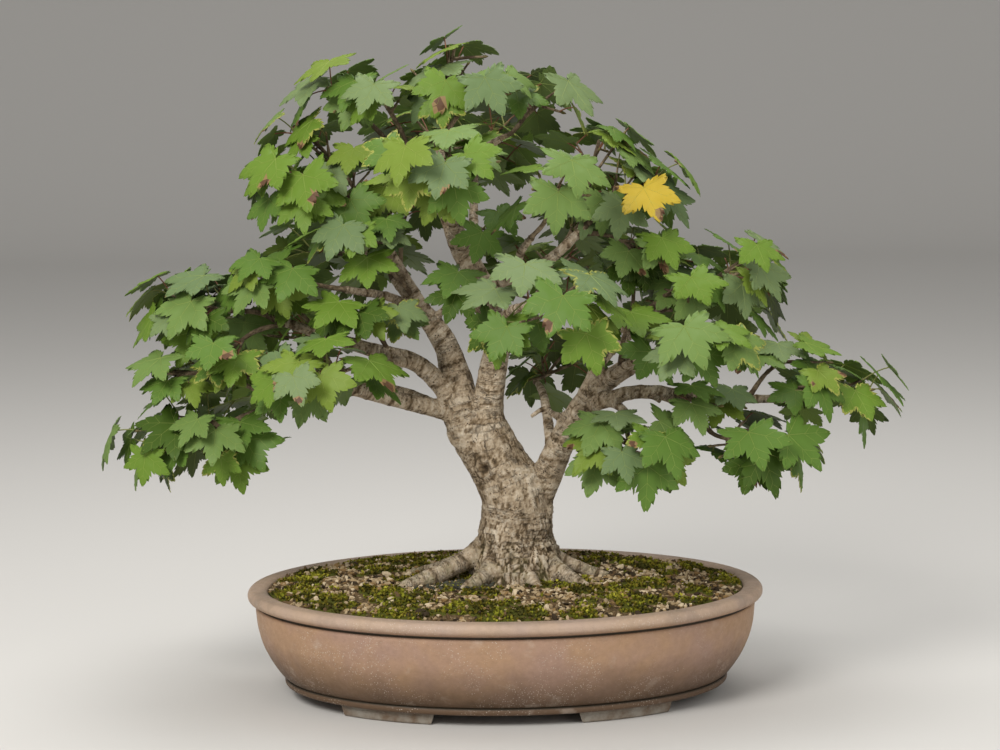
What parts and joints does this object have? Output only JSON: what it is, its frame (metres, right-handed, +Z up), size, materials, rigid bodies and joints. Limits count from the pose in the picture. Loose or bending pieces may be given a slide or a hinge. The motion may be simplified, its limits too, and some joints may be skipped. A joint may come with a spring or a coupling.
{
  "type": "bonsai tree",
  "caption": "Broad-crowned sycamore maple bonsai in a shallow oval stoneware pot, with a flared trunk, spreading boughs and layered lobed leaves.",
  "frame": {"origin": "on the floor under the middle of the pot, which is the middle of the bounding box to within a few millimetres", "axes": "+Z up; +X along the pot's long way, to the right when the tree is seen from its front; -Y towards the viewer at its front"},
  "size_m": [0.8685, 0.5296, 0.7111],
  "materials": {
    "stoneware": "unglazed brown stoneware, matt, mottled",
    "earth": "damp gritty soil with moss",
    "trunk_bark": "rough grey-tan bark",
    "bough_bark": "flaky grey-tan bark",
    "leaf_green": "soft matt leaves"
  },
  "bodies": {
    "root": {"pot": "stoneware", "soil": "earth", "trunk": "trunk_bark", "right_bough": "bough_bark", "left_leader": "bough_bark", "left_leader_branch": "bough_bark", "left_upper_bough": "bough_bark", "left_lower_bough": "bough_bark", "left_front_bough": "bough_bark", "left_back_bough": "bough_bark", "back_left_bough": "bough_bark", "apex_left_bough": "bough_bark", "apex_right_bough": "bough_bark", "upper_front_bough": "bough_bark", "back_top_bough": "bough_bark", "upper_right_bough": "bough_bark", "upper_right_front_bough": "bough_bark", "front_bough": "bough_bark", "back_bough": "bough_bark", "right_upper_bough": "bough_bark", "right_front_bough": "bough_bark", "right_lower_bough": "bough_bark", "right_low_bough": "bough_bark", "right_inner_bough": "bough_bark", "back_right_bough": "bough_bark", "back_low_bough": "bough_bark", "foliage_left_low": "leaf_green", "foliage_left_front": "leaf_green", "foliage_left_upper": "leaf_green", "foliage_left_shoulder": "leaf_green", "foliage_left_leader": "leaf_green", "foliage_left_back": "leaf_green", "foliage_back_left": "leaf_green", "foliage_apex_left": "leaf_green", "foliage_apex": "leaf_green", "foliage_apex_right": "leaf_green", "foliage_upper_front": "leaf_green", "foliage_back_top": "leaf_green", "foliage_upper_right": "leaf_green", "foliage_upper_right_front": "leaf_green", "foliage_front": "leaf_green", "foliage_back": "leaf_green", "foliage_right_upper": "leaf_green", "foliage_right_front": "leaf_green", "foliage_right_tip": "leaf_green", "foliage_right_low": "leaf_green", "foliage_right_inner": "leaf_green", "foliage_back_right": "leaf_green", "foliage_back_low": "leaf_green"}
  },
  "joints": []
}
